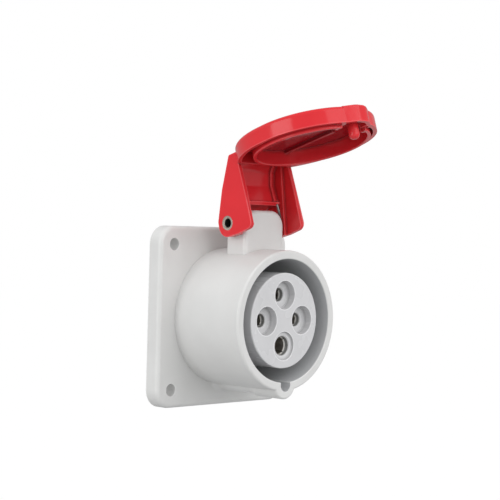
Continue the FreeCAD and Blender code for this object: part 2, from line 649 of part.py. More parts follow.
def ring_return(side):
    """Slanting wall that leads the broken ring's end out to the skirt beside the tab."""
    skirt_r = LID_R - LID_WALL / 2
    ends = [RETURN_END_X, RETURN_END_X + RETURN_WALL]
    skirt = [-math.sqrt(skirt_r ** 2 - x ** 2) for x in ends]
    wall = [(side * RETURN_START_X, RETURN_START_Z, 0), (side * (RETURN_START_X + RETURN_WALL), RETURN_START_Z, 0.6),
            (side * ends[1], skirt[1], 0), (side * ends[0], skirt[0], 0)]
    if side < 0:
        wall.reverse()
    return front_prism(wall, RING_LIP, LID_FLOOR + 0.5).cut(beside_ring())


def beside_ring():
    """Room outside the ring, in front of the skirt's lip."""
    return rod(2 * RING_R, RING_LIP - 1, LIP_DEPTH).cut(rod(RING_R, RING_LIP - 2, LIP_DEPTH + 1))


def tab_outline(inset):
    """Thumb tab seen from the front: two slanting flanks and a rounded nose."""
    w = TAB_HALF_WIDTH - inset
    foot = -(TAB_FOOT - inset / 2)
    nose = TAB_NOSE_HALF_WIDTH - inset / 3
    reach = -(TAB_REACH - inset)
    root = -RING_R * 0.9
    return [(-w, root, 0), (-w, foot, 0), (-nose, reach, TAB_NOSE_R - inset), (nose, reach, TAB_NOSE_R - inset),
            (w, foot, 0), (w, root, 0)]


def thumb_tab():
    """Hollow tab with its stud."""
    block = front_prism(tab_outline(0), LIP_DEPTH, LID_TOP)
    edge = edges_where(block, lambda e: abs(e.CenterOfMass.y + LID_TOP) < 1e-3 and e.CenterOfMass.z < -RING_R)
    return block.makeChamfer(TAB_EDGE, edge)


def tab_hollow():
    """Space inside the tab, open to the barrel."""
    return front_prism(tab_outline(TAB_WALL), RING_LIP - 1, LID_FLOOR)


def stud():
    """Round-ended stud that drops into the keyway when the lid is shut."""
    tip = LIP_DEPTH - STUD_LENGTH
    return turned([(0, tip, 0), (STUD_R, tip, STUD_R * 0.9), (STUD_R, LID_FLOOR + 0.6, 0),
                   (0, LID_FLOOR + 0.6, 0)], 0, STUD_Z)


def arm_outline():
    """Side view of one arm of the closed lid, round its hub."""
    d, z = HINGE_DEPTH, HINGE_HEIGHT
    return [(d + ARM_TOP_FORWARD, z + HUB_R * 0.93, 2.0), (d - HUB_R, z + HUB_R, HUB_R * 0.9),
            (d - ARM_HEEL_BACK, z - ARM_HEEL_RISE, 3.0),
            (d - ARM_HEEL_BACK + 0.5, z - ARM_UNDERSIDE_BACK, ARM_HEEL_R),
            (d + ARM_REACH, z - ARM_UNDERSIDE_FRONT, 0), (d + ARM_REACH, z - ARM_NOSE_DROP, 1.0),
            (d + ARM_BROW_FORWARD, z - ARM_BROW_DROP, 6.0)]


def arm_pad_cutter():
    """Space under the step line, where the arm is only one wall thick."""
    d, z = HINGE_DEPTH, HINGE_HEIGHT
    slope = (PAD_FRONT_DROP - PAD_BACK_DROP) / (PAD_FRONT_FORWARD + PAD_BACK)
    back, front = 2 * HUB_R, ARM_REACH + HUB_R
    return [(d - back, z - PAD_BACK_DROP + slope * (back - PAD_BACK), 0),
            (d - back, z - 3 * ARM_UNDERSIDE_BACK, 0), (d + front, z - 3 * ARM_UNDERSIDE_BACK, 0),
            (d + front, z - PAD_FRONT_DROP - slope * (front - PAD_FRONT_FORWARD), 0)]


def arms():
    """Both arms, each with a pad towards the tower above the step line."""
    shapes = []
    for side in (-1, 1):
        x0, x1 = sorted((side * PAD_INNER_X, side * ARM_OUTER_X))
        arm = side_prism(arm_outline(), x0, x1)
        p0, p1 = sorted((side * (PAD_INNER_X - 1), side * ARM_INNER_X))
        shapes.append(arm.cut(side_prism(arm_pad_cutter(), p0, p1)))
    return shapes


def neck():
    """Plate that joins the disc to the noses of the arms."""
    front = HINGE_DEPTH + ARM_REACH
    return front_prism(slab(-ARM_OUTER_X, ARM_OUTER_X, LID_R / 2, HINGE_HEIGHT - ARM_NOSE_DROP - 1.0),
                       front - NECK_PLATE, front)


def web():
    """Roof between the arms with two ribs inside, ending in a hood that sweeps round the tower."""
    d, z = HINGE_DEPTH, HINGE_HEIGHT
    end = (d + WEB_END_FORWARD, z - WEB_END_DROP)
    bend = (d + WEB_BEND_FORWARD, z - WEB_BEND_DROP)
    crest = (d + WEB_CREST_FORWARD, z - WEB_CREST_DROP)
    nose = (d + WEB_NOSE_FORWARD, z - WEB_NOSE_DROP)
    t = WEB_THICKNESS
    inner = [(end[0], end[1], t * 0.4), (bend[0], bend[1], 3.0), (crest[0], crest[1], 3.0), (nose[0], nose[1], 0)]
    outer = [(nose[0] + t, nose[1] + t * 0.6, 0), (crest[0] + t * 0.6, crest[1] + t, 3.0),
             (bend[0], bend[1] + t, 3.0), (end[0] + t * 0.3, end[1] + t, 0)]
    shapes = [side_prism(inner + outer, -ARM_INNER_X, ARM_INNER_X)]
    h = WEB_RIB_HEIGHT
    for side in (-1, 1):
        x0, x1 = sorted((side * WEB_RIB_X, side * (WEB_RIB_X + WEB_RIB_WIDTH)))
        shapes.append(side_prism([(end[0], end[1] - h, h), (bend[0], bend[1] - h, 3.0),
                                  (crest[0] - h / 2, crest[1] - h, 3.0), (nose[0] - h, nose[1], 0),
                                  (nose[0] + t / 2, nose[1], 0), (crest[0], crest[1] + t / 2, 0),
                                  (bend[0], bend[1] + t / 2, 0), (end[0] + t, end[1] + t / 2, 0)], x0, x1))
    return shapes + [hood()]


def hood():
    """Shell about the hinge axis that passes just outside the tower: the arms' height, and a tongue that goes on."""
    whole = hood_sector(ARM_INNER_X).common(side_prism(arm_outline(), -ARM_INNER_X, ARM_INNER_X))
    return whole.fuse(hood_sector(HOOD_TONGUE_HALF_WIDTH))


def hood_sector(half_width):
    """Sector of the hood's tube."""
    tube = cross_rod(HOOD_R + HOOD_WALL, -half_width, half_width, HINGE_DEPTH, HINGE_HEIGHT)
    reach = 3 * HOOD_R
    corners = [(HINGE_DEPTH, HINGE_HEIGHT, 0)]
    for angle in (HOOD_LOW_ANGLE, HOOD_HIGH_ANGLE):
        d, z = polar(reach, angle)
        corners.append((HINGE_DEPTH + d, HINGE_HEIGHT + z, 0))
    return tube.common(side_prism(corners, -half_width, half_width))


def coil_start_x():
    """Middle of the wire at the coil's end beside the tower."""
    return TOWER_HALF_WIDTH + SPRING_TOWER_GAP + SPRING_WIRE_R


def coil_end_x():
    """Middle of the wire at the coil's end inside the arm."""
    return coil_start_x() + SPRING_PITCH * SPRING_TURNS


def coil_place(x, degrees):
    """Point on the coil's middle line, by its angle about the pin from straight ahead, upwards positive."""
    angle = math.radians(degrees)
    return Vector(x, -HINGE_DEPTH - SPRING_COIL_R * math.cos(angle), HINGE_HEIGHT + SPRING_COIL_R * math.sin(angle))


def spring_tail_angle():
    """Angle about the pin at which the coil starts."""
    return SPRING_LEG_ANGLE - 90 - 360 * SPRING_TURNS


def leg_tip():
    """Middle of the leg's end, with the lid open."""
    angle = math.radians(SPRING_LEG_ANGLE)
    root = coil_place(SPRING_LEG_TIP_X, SPRING_LEG_ANGLE - 90)
    return root + Vector(0, -math.cos(angle), math.sin(angle)) * SPRING_LEG_LENGTH


def spring_pocket():
    """Room for the coil in the right arm and for the leg beside it, with the lid open."""
    r = SPRING_COIL_R + SPRING_WIRE_R + SPRING_POCKET_FIT
    far_x = coil_end_x() + SPRING_WIRE_R + SPRING_POCKET_FIT / 2
    pocket = cross_rod(r, PAD_INNER_X - 1, far_x, HINGE_DEPTH, HINGE_HEIGHT)
    half = SPRING_WIRE_R + SPRING_POCKET_FIT
    near_x = SPRING_LEG_TIP_X - SPRING_WIRE_R - 2 * SPRING_POCKET_FIT
    leg = Part.makeBox(far_x - near_x, 2 * half, SPRING_LEG_LENGTH + SPRING_WIRE_R + SPRING_POCKET_FIT,
                       Vector(near_x, -SPRING_COIL_R - half, 0))
    leg.rotate(Vector(0, 0, 0), Vector(1, 0, 0), -(SPRING_LEG_ANGLE - 90))
    leg.translate(Vector(0, -HINGE_DEPTH, HINGE_HEIGHT))
    return [pocket, leg]


def opened(shape):
    """Swings a piece from its closed place to the open one."""
    shape.rotate(Vector(0, -HINGE_DEPTH, HINGE_HEIGHT), Vector(1, 0, 0), -OPEN_ANGLE)
    return shape


def lid():
    """Disc, thumb tab, neck, arms and roof, moulded in one and swung open."""
    inside = lid_prism(LID_WALL / 2, 0, LID_FLOOR + LID_PLATE / 2)
    sweep = cross_rod(HOOD_R, -PAD_INNER_X, PAD_INNER_X, HINGE_DEPTH, HINGE_HEIGHT)
    carrier = joined([neck()] + web() + arms()).cut([inside, sweep])
    body = joined([disc_cap(), thumb_tab(), carrier])
    cuts = [tab_hollow(), cross_rod(HINGE_PIN_R + PIN_ARM_FIT, -ARM_OUTER_X - 1, ARM_OUTER_X + 1,
                                    HINGE_DEPTH, HINGE_HEIGHT)]
    for side in (-1, 1):
        depth = PIN_FLARE_LENGTH + PIN_ARM_FIT
        start = Vector(side * (ARM_OUTER_X - depth), -HINGE_DEPTH, HINGE_HEIGHT)
        cuts.append(Part.makeCone(HINGE_PIN_R + PIN_ARM_FIT, PIN_FLARE_R + PIN_ARM_FIT, depth, start,
                                  Vector(side, 0, 0)))
    body = opened(joined([body.cut(cuts), stud()]))
    return body.cut(spring_pocket())


def hinge_pin():
    """Tube through the tower and both arms, flared at its ends."""
    half = ARM_OUTER_X
    step = half - PIN_FLARE_LENGTH
    inner = HINGE_PIN_R - HINGE_PIN_WALL
    wire = outline([(-half, inner + 0.35, 0), (-step, inner, 0), (step, inner, 0), (half, inner + 0.35, 0),
                    (half, PIN_FLARE_R, 0), (step, HINGE_PIN_R, 0), (-step, HINGE_PIN_R, 0), (-half, PIN_FLARE_R, 0)],
                   lambda x, r: Vector(x, -HINGE_DEPTH, HINGE_HEIGHT + r))
    return Part.Face(wire).revolve(Vector(0, -HINGE_DEPTH, HINGE_HEIGHT), Vector(1, 0, 0), 360)


def wire_run(a, b):
    """Straight stretch of the spring's wire, round at both ends."""
    run = Part.makeCylinder(SPRING_WIRE_R, (b - a).Length, a, b - a)
    return joined([run, Part.makeSphere(SPRING_WIRE_R, a), Part.makeSphere(SPRING_WIRE_R, b)])


def lid_spring():
    """Torsion spring round the pin: a tail in the tower, the coil, and a leg behind the lid's roof."""
    helix = Part.makeHelix(SPRING_PITCH, SPRING_PITCH * SPRING_TURNS, SPRING_COIL_R)
    first = helix.Edges[0]
    start = first.valueAt(first.FirstParameter)
    profile = Part.Wire(Part.makeCircle(SPRING_WIRE_R, start, first.tangentAt(first.FirstParameter)))
    coil = Part.Wire(helix).makePipeShell([profile], True, True)
    coil.rotate(Vector(0, 0, 0), Vector(0, 1, 0), 90)
    coil.rotate(Vector(0, 0, 0), Vector(1, 0, 0), -90 - spring_tail_angle())
    coil.translate(Vector(coil_start_x(), -HINGE_DEPTH, HINGE_HEIGHT))
    tail = coil_place(coil_start_x(), spring_tail_angle())
    root = coil_place(coil_end_x(), SPRING_LEG_ANGLE - 90)
    return joined([coil, wire_run(tail - Vector(SPRING_TAIL + SPRING_WIRE_R, 0, 0), tail), wire_run(root, leg_tip())])


def save(name, shape):
    """Writes one piece, after checking that it is a sound solid."""
    if not shape.isValid():
        shape.fix(1e-4, 1e-4, 1e-3)
    print(name, "solids", len(shape.Solids), "valid", shape.isValid(), "volume", round(shape.Volume, 1))
    shape.exportStep("parts/" + name + ".step")


def build():
    os.makedirs("parts", exist_ok=True)
    save("housing", housing())
    save("panel_gasket", groove(GROOVE_FIT))
    save("contact_carrier", contact_carrier())
    save("terminal_block", terminal_block())
    for number, (name, (angle, pin_r, recess)) in enumerate(CONTACTS.items(), 1):
        save(name, contact(angle, pin_r, recess))
        save("grip_ring_%d" % number, grip_ring(angle, pin_r, recess))
        save("terminal_screw_%d" % number, terminal_screw(angle, pin_r))
    save("centre_screw", rear_screw(CENTRE_SCREW_R, CENTRE_HEAD_R, CENTRE_HEAD_HEIGHT,
                                    SEAT_DEPTH + CENTRE_SCREW_BITE - CENTRE_HEAD_SEAT, CENTRE_HEAD_SEAT))
    for number, angle in enumerate(EAR_ANGLES, 1):
        save("ear_screw_%d" % number, rear_screw(SMALL_SCREW_R, SMALL_HEAD_R, SMALL_HEAD_HEIGHT, EAR_SCREW_LENGTH,
                                                 EAR_HEAD_SEAT, *polar(EAR_RADIUS, angle)))
    save("lid", lid())
    save("hinge_pin", hinge_pin())
    save("lid_spring", lid_spring())


build()
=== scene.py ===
import math

import bpy
from mathutils import Matrix, Vector


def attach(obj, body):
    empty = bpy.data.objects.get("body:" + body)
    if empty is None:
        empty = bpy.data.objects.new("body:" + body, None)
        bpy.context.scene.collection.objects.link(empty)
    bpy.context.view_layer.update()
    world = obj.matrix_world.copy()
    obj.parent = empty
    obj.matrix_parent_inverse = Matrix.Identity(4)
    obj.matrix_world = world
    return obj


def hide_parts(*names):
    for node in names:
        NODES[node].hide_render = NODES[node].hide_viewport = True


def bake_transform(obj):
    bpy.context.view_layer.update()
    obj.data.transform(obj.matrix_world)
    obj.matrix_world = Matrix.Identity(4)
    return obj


# Panel socket with its red lid open: materials, spring, light and camera.
# Metres, in the CAD's frame: +Z up, the socket faces -Y, the flange's rear plane is y = 0.

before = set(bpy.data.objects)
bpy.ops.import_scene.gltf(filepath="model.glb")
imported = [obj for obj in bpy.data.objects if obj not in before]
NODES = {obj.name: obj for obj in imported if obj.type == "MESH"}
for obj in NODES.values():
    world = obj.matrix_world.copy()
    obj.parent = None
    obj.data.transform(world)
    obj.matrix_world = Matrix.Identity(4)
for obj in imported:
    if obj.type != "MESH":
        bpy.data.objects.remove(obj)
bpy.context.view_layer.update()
SCENE = bpy.context.scene

HINGE = Vector((0.0, -0.0229, 0.0392))
OPEN_ANGLE = math.radians(107.5)

# Barrel's bore with its keyway, darkened by painted shade, and the insert's entries, painted dark grey inside: x, z
# and a radius just outside their walls
BORES = ((0, 0, 0.0253), (0, -0.0261, 0.00295))
ENTRIES = ((-0.0104, 0, 0.0028), (0, 0.0104, 0.0028), (0.0104, 0, 0.0028), (0, -0.0104, 0.0040))
# Lid's floor, closed: radius inside the ring, and the depths in front of the panel between which it lies
FLOOR_R, FLOOR_START, FLOOR_TOP = 0.0224, 0.0455, 0.0502
# Hood's inner side: radius just outside it and half the width between the arms
HOOD_R, HOOD_HALF_WIDTH = 0.0083, 0.0126
# Hinge pin's bore, where painted shade goes: radius at its wall, and the radius from which the painted shade is
# fully dark
PIN_BORE_R, PIN_DARK_R = 0.00205, 0.00180

# Colours, linear
# The second colour of the housing, the insert and the red is a painted highlight for sharp edges
HOUSING, HOUSING_HIGHLIGHT = (0.64, 0.635, 0.622), (0.86, 0.86, 0.85)
INSERT, INSERT_HIGHLIGHT = (0.59, 0.585, 0.59), (0.92, 0.92, 0.92)
# Painted shade: the barrel's bore darker and cooler than the housing
BORE_SHADE = (0.52, 0.525, 0.53)
RED, RED_HIGHLIGHT = (0.66, 0.021, 0.029), (0.88, 0.13, 0.14)
# The second shares on the next line darken the lid's floor: painted shade
RED_WARM, RED_FLOOR_SHADE = (1.04, 1.6, 1.2), (0.48, 0.35, 0.45)  # shares of RED, channel by channel
CONTACT = (0.86, 0.83, 0.78)
# Dark grey for the walls inside the insert's entries
ENTRY_WALL_GREY = (0.25, 0.25, 0.24)
STEEL = (0.42, 0.41, 0.40)
ZINC = (0.66, 0.66, 0.64)
# The second colour on the next line is painted shade for the hinge pin's bore
PLATED, PIN_BORE_SHADE = (0.84, 0.72, 0.62), (0.012, 0.010, 0.009)
RUBBER = (0.018, 0.018, 0.019)


class Tree:
    """Short way to build one material's nodes."""

    def __init__(self, name):
        self.material = bpy.data.materials.new(name)
        self.material.use_nodes = True
        self.tree = self.material.node_tree
        self.tree.nodes.clear()
        self.shader = self.add("ShaderNodeBsdfPrincipled")
        self.join(self.shader, "BSDF", self.add("ShaderNodeOutputMaterial"), "Surface")
        self.place = self.add("ShaderNodeTexCoord")

    @classmethod
    def of(cls, material):
        """The nodes of a material that is made already."""
        t = cls.__new__(cls)
        t.material = material
        t.tree = material.node_tree
        t.shader = next(n for n in t.tree.nodes if n.type == "BSDF_PRINCIPLED")
        t.place = next(n for n in t.tree.nodes if n.type == "TEX_COORD")
        return t

    def add(self, kind, **values):
        node = self.tree.nodes.new(kind)
        for key, value in values.items():
            setattr(node, key, value)
        return node

    def join(self, a, out, b, into):
        self.tree.links.new(a.outputs[out], b.inputs[into])

    def set(self, **values):
        """Shader inputs that are the same all over."""
        for key, value in values.items():
            self.shader.inputs[key.replace("_", " ")].default_value = value

    def stretched(self, scale):
        """Object coordinates, stretched."""
        node = self.add("ShaderNodeMapping")
        node.inputs["Scale"].default_value = scale
        self.join(self.place, "Object", node, "Vector")
        return node

    def axes(self):
        """Object coordinates as three numbers."""
        node = self.add("ShaderNodeSeparateXYZ")
        self.join(self.place, "Object", node, "Vector")
        return node.outputs

    def noise(self, scale, detail=3.0, roughness=0.5, stretch=(1, 1, 1)):
        node = self.add("ShaderNodeTexNoise")
        node.inputs["Scale"].default_value = scale
        node.inputs["Detail"].default_value = detail
        node.inputs["Roughness"].default_value = roughness
        self.join(self.stretched(stretch), "Vector", node, "Vector")
        return node

    def calc(self, operation, a, b=0.0):
        """Arithmetic on two values, each a number, a node or one of a node's outputs."""
        node = self.add("ShaderNodeMath", operation=operation)
        for value, socket in zip((a, b), node.inputs):
            if isinstance(value, (int, float)):
                socket.default_value = value
            elif isinstance(value, bpy.types.Node):
                self.tree.links.new(value.outputs[0], socket)
            else:
                self.tree.links.new(value, socket)
        return node

    def squares(self, a, b, at_a=0.0, at_b=0.0):
        """Square of the distance from a point, by two coordinates."""
        from_a = self.calc("SUBTRACT", a, at_a)
        from_b = self.calc("SUBTRACT", b, at_b)
        return self.calc("ADD", self.calc("MULTIPLY", from_a, from_a), self.calc("MULTIPLY", from_b, from_b))

    def spread(self, source, out, low, high, start=0.3, end=0.7):
        """Maps start..end, by default a texture's middle range, to low..high."""
        node = self.add("ShaderNodeMapRange")
        node.inputs["From Min"].default_value = start
        node.inputs["From Max"].default_value = end
        node.inputs["To Min"].default_value = low
        node.inputs["To Max"].default_value = high
        self.join(source, out, node, "Value")
        return node

    def tones(self, source, low, high):
        """Colour from low to high over a texture's middle range."""
        node = self.add("ShaderNodeValToRGB")
        for element, place, colour in zip(node.color_ramp.elements, (0.3, 0.7), (low, high)):
            element.position = place
            element.color = (*colour, 1)
        self.join(source, "Fac", node, "Fac")
        return node.outputs["Color"]

    def blended(self, a, b, source, out):
        """Colour a to b (sockets or colours) by a factor."""
        node = self.add("ShaderNodeMix", data_type="RGBA")
        for value, name in ((a, "A"), (b, "B")):
            socket = next(s for s in node.inputs if s.name == name and s.type == "RGBA")
            if isinstance(value, tuple):
                socket.default_value = (*value, 1)
            else:
                self.tree.links.new(value, socket)
        self.tree.links.new(source.outputs[out], node.inputs["Factor"])
        return next(s for s in node.outputs if s.type == "RGBA")

    def colour(self, source):
        """Takes a colour output as the base colour."""
        self.tree.links.new(source, self.shader.inputs["Base Color"])

    def recolour(self, colour, mask):
        """The base colour so far, with another one where the mask is 1."""
        so_far = self.shader.inputs["Base Color"].links[0].from_socket
        self.colour(self.blended(so_far, colour, mask, "Value"))

    def reach(self, distance, inside, local):
        """How open the surface is within a distance: 1 on a flat, less in a crease, or at an edge from inside."""
        node = self.add("ShaderNodeAmbientOcclusion", samples=8, inside=inside, only_local=local)
        node.inputs["Distance"].default_value = distance
        return node.outputs["AO"]

    def edge_light_crease_shade(self, edge, gain, highlight_colour, crease, loss, local=True):
        """Painted highlight and painted shade in the base colour: lighter along sharp edges, darker in creases;
        returns how deep the creases are.
        """
        sharp = self.calc("SUBTRACT", 1.0, self.reach(edge, inside=True, local=True))
        deep = self.calc("SUBTRACT", 1.0, self.reach(crease, inside=False, local=local))
        # Painted shade: the base colour darker in creases
        scaled = self.add("ShaderNodeVectorMath", operation="SCALE")
        self.tree.links.new(self.shader.inputs["Base Color"].links[0].from_socket, scaled.inputs[0])
        self.join(self.calc("SUBTRACT", 1.0, self.calc("MULTIPLY", deep, loss)), "Value", scaled, "Scale")
        # Painted highlight: the base colour blended towards a light colour along sharp edges
        share = self.calc("MULTIPLY", sharp, gain)
        share.use_clamp = True
        self.colour(self.blended(scaled.outputs[0], highlight_colour, share, "Value"))
        return deep

    def relief(self, layers, bevel):
        """Bump from several heights of (node, distance in metres), over edges softened by a bevel."""
        last = self.add("ShaderNodeBevel", samples=6)
        last.inputs["Radius"].default_value = bevel
        for source, distance in layers:
            bump = self.add("ShaderNodeBump")
            bump.inputs["Distance"].default_value = distance
            self.join(source, "Fac", bump, "Height")
            self.join(last, "Normal", bump, "Normal")
            last = bump
        self.join(last, "Normal", self.shader, "Normal")


def lighter(colour, amount):
    """The colour times an amount, at most white."""
    return tuple(min(1.0, c * amount) for c in colour)


def channel_scaled(colour, shares):
    """The colour times a share for each channel."""
    return tuple(c * share for c, share in zip(colour, shares))


def plastic(name, colour, roughness, grain, depth, bevel):
    """Moulded plastic: fine spark-eroded grain, soft flow marks and faint unevenness of tone."""
    t = Tree(name)
    cloud = t.noise(55, 4, 0.55)
    t.colour(t.tones(cloud, lighter(colour, 0.965), lighter(colour, 1.03)))
    fine = t.noise(grain, 3, 0.6)
    smear = t.noise(140, 2, 0.5, (1, 0.25, 1))
    t.join(t.spread(smear, "Fac", roughness - 0.05, roughness + 0.06), "Result", t.shader, "Roughness")
    t.set(IOR=1.5)
    t.relief([(fine, depth), (cloud, 0.00012)], bevel)
    return t.material


def tinted(material, colour, circles):
    """The material with another colour inside circles (x, z, radius) seen from the front."""
    t = Tree.of(material)
    x, _, z = t.axes()
    within = None
    for place_x, place_z, radius in circles:
        near = t.calc("LESS_THAN", t.squares(x, z, place_x, place_z), radius ** 2)
        within = near if within is None else t.calc("MAXIMUM", near, within)
    t.recolour(colour, within)
    return material


def lid_floor(t):
    """1 on the lid's floor, inside its ring, by the place that the floor has with the lid closed: where painted
    shade darkens it.
    """
    closed = t.add("ShaderNodeVectorRotate", rotation_type="X_AXIS")
    closed.inputs["Center"].default_value = HINGE
    closed.inputs["Angle"].default_value = OPEN_ANGLE
    t.join(t.place, "Object", closed, "Vector")
    split = t.add("ShaderNodeSeparateXYZ")
    t.join(closed, "Vector", split, "Vector")
    x, y, z = split.outputs
    inside = t.calc("LESS_THAN", t.squares(x, z), FLOOR_R ** 2)
    before = t.calc("GREATER_THAN", y, -FLOOR_TOP)
    beyond = t.calc("LESS_THAN", y, -FLOOR_START)
    return t.calc("MULTIPLY", inside, t.calc("MULTIPLY", before, beyond))


def under_hood(t):
    """1 on the hood's inner side, close round the hinge and between the arms, where the skin is dull."""
    x, y, z = t.axes()
    close = t.calc("LESS_THAN", t.squares(y, z, HINGE.y, HINGE.z), HOOD_R ** 2)
    between = t.calc("LESS_THAN", t.calc("ABSOLUTE", x), HOOD_HALF_WIDTH)
    return t.calc("MULTIPLY", close, between)


def red_plastic():
    """Glossy red: orange peel, streaks where the material flowed, painted shade on the floor and in creases,
    painted highlight along sharp edges, and dull in creases.
    """
    crease_dull, hood_dull = 0.9, 0.95
    t = Tree("lid_red")
    cloud = t.noise(38, 4, 0.55)
    flow = t.noise(60, 3, 0.6, (1.0, 0.2, 0.2))
    base = t.tones(cloud, lighter(RED, 0.93), lighter(RED, 1.05))
    t.colour(t.blended(base, channel_scaled(RED, RED_WARM), t.spread(flow, "Fac", 0.0, 0.35), "Result"))
    t.set(IOR=1.5, Specular_IOR_Level=0.42)
    # Painted shade: the lid's floor darker inside its ring
    t.recolour(channel_scaled(RED, RED_FLOOR_SHADE), lid_floor(t))
    # Painted highlight along sharp edges and painted shade in creases; the creases are also made dull
    creases = t.edge_light_crease_shade(edge=0.0006, gain=1.2, highlight_colour=RED_HIGHLIGHT, crease=0.0014, loss=0.8, local=False)
    dull = t.calc("MAXIMUM", t.calc("MULTIPLY", creases, crease_dull), t.calc("MULTIPLY", under_hood(t), hood_dull))
    gloss = t.spread(flow, "Fac", 0.10, 0.19)
    t.join(t.calc("MAXIMUM", gloss, dull), "Value", t.shader, "Roughness")
    peel = t.noise(620, 2, 0.5)
    t.relief([(peel, 0.000012), (cloud, 0.00025)], 0.0003)
    return t.material


def turned_metal(name, colour, roughness, along=(1, 1, 1)):
    """Metal with fine tool rings round an axis, given by the stretch of the noise."""
    t = Tree(name)
    rings = t.noise(900, 3, 0.6, along)
    cloud = t.noise(160, 3, 0.5)
    t.colour(t.tones(cloud, lighter(colour, 0.88), lighter(colour, 1.06)))
    t.join(t.spread(rings, "Fac", roughness - 0.08, roughness + 0.1), "Result", t.shader, "Roughness")
    t.set(Metallic=1.0)
    t.relief([(rings, 0.000012)], 0.0001)
    return t.material


def plated_tube():
    """Bright plated tube with painted shade in its bore: dark, dull and not metallic there."""
    t = Tree("pin_plated")
    _, y, z = t.axes()
    radius = t.calc("SQRT", t.squares(y, z, HINGE.y, HINGE.z))
    inside = t.spread(radius, "Value", 0.0, 1.0, PIN_BORE_R, PIN_DARK_R)
    cloud = t.noise(700, 3, 0.5)
    # Painted shade: the bore nearly black
    t.colour(t.blended(t.tones(cloud, lighter(PLATED, 0.85), PLATED), PIN_BORE_SHADE, inside, "Result"))
    t.join(t.spread(inside, "Result", 0.2, 0.75, 0, 1), "Result", t.shader, "Roughness")
    t.join(t.spread(inside, "Result", 1.0, 0.0, 0, 1), "Result", t.shader, "Metallic")
    t.relief([(cloud, 0.00001)], 0.0001)
    return t.material


def rubber():
    """Dull black rubber."""
    t = Tree("gasket_rubber")
    fine = t.noise(1500, 4, 0.6)
    t.colour(t.tones(fine, lighter(RUBBER, 0.7), lighter(RUBBER, 1.5)))
    t.join(t.spread(fine, "Fac", 0.55, 0.75), "Result", t.shader, "Roughness")
    t.relief([(fine, 0.00003)], 0.0002)
    return t.material


def numbered(name, count):
    """Names of like pieces, counted from 1."""
    return ["%s_%d" % (name, i) for i in range(1, count + 1)]


def give(material, *names):
    """Puts the material on CAD pieces."""
    for name in names:
        mesh = NODES[name].data
        mesh.materials.clear()
        mesh.materials.append(material)


def linked(name, data):
    """Object in the scene that shows a mesh or curve, or is a lamp or camera."""
    piece = bpy.data.objects.new(name, data)
    SCENE.collection.objects.link(piece)
    return piece


def wire(name, points, radius, material, body=None):
    """Round wire through the points, as a mesh."""
    curve = bpy.data.curves.new(name, "CURVE")
    curve.dimensions = "3D"
    curve.bevel_depth = radius
    curve.bevel_resolution = 6
    curve.use_fill_caps = True
    spline = curve.splines.new("POLY")
    spline.points.add(len(points) - 1)
    for point, place in zip(spline.points, points):
        point.co = (*place, 1)
    made = linked(name + "_curve", curve)
    bpy.context.view_layer.update()
    mesh = bpy.data.meshes.new_from_object(made.evaluated_get(bpy.context.evaluated_depsgraph_get()))
    bpy.data.objects.remove(made)
    piece = linked(name, mesh)
    mesh.polygons.foreach_set("use_smooth", [True] * len(mesh.polygons))
    mesh.materials.clear()
    mesh.materials.append(material)
    if body:
        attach(piece, body)
    return piece


def lid_spring(material):
    """Torsion spring: tail in the tower, coil round the pin, leg behind the lid's roof."""
    radius, wire_r = 0.0031, 0.00045
    start_x, pitch, turns, coil_steps = 0.01195, 0.00095, 2.25, 120
    tail_length, tail_bend = 0.0030, 0.0006
    leg_angle, leg_length, tip_x, leg_steps = math.radians(104.0), 0.0084, 0.0122, 8
    end_angle = leg_angle - math.pi / 2
    start_angle = end_angle - 2 * math.pi * turns

    def around(x, angle):
        return Vector((x, HINGE.y - radius * math.cos(angle), HINGE.z + radius * math.sin(angle)))

    coil = []
    for i in range(coil_steps + 1):
        share = i / coil_steps
        coil.append(around(start_x + pitch * turns * share, start_angle + (end_angle - start_angle) * share))
    spring = wire("spring_coil", coil, wire_r, material)
    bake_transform(spring)
    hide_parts("lid_spring")

    tail = [coil[0] - Vector((tail_length, 0, 0)), coil[0] - Vector((tail_bend, 0, 0)), coil[0]]
    wire("spring_tail", tail, wire_r, material, "housing")

    ahead = Vector((0, -math.cos(leg_angle), math.sin(leg_angle)))
    tip = around(tip_x, end_angle) + ahead * leg_length
    leg = [coil[-1].lerp(tip, i / leg_steps) for i in range(leg_steps + 1)]
    wire("spring_leg", leg, wire_r, material, "lid")


def hood_end(material):
    """Short end of the hood beside the right arm, a sector of a ring that closes the slot between them."""
    near, far = 0.01255, 0.0136
    inner, outer = 0.0081, 0.0097
    low, high, steps = math.radians(-29.0), math.radians(30.0), 24
    verts, faces = [], []
    for i in range(steps + 1):
        angle = low + (high - low) * i / steps + OPEN_ANGLE
        for x in (near, far):
            for r in (inner, outer):
                verts.append((x, HINGE.y - r * math.cos(angle), HINGE.z + r * math.sin(angle)))
    for i in range(steps):
        a = 4 * i
        for p, q in ((0, 1), (1, 3), (3, 2), (2, 0)):
            faces.append((a + p, a + q, a + 4 + q, a + 4 + p))
    faces += [(0, 2, 3, 1), (4 * steps, 4 * steps + 1, 4 * steps + 3, 4 * steps + 2)]
    mesh = bpy.data.meshes.new("hood_end")
    mesh.from_pydata(verts, [], faces)
    mesh.validate()
    mesh.update()
    mesh.materials.append(material)
    piece = linked("hood_end", mesh)
    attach(piece, "lid")


def area_light(name, azimuth, elevation, distance, width, height, power):
    """Soft box that looks at the socket from an azimuth counted from straight in front, +X side positive."""
    target = Vector((0, -0.03, 0.02))
    az, el = math.radians(azimuth), math.radians(elevation)
    away = Vector((math.sin(az) * math.cos(el), -math.cos(az) * math.cos(el), math.sin(el)))
    data = bpy.data.lights.new(name, "AREA")
    data.shape = "RECTANGLE"
    data.size = width
    data.size_y = height
    data.energy = power
    lamp = linked(name, data)
    lamp.location = target + away * distance
    lamp.rotation_euler = away.to_track_quat("Z", "Y").to_euler()


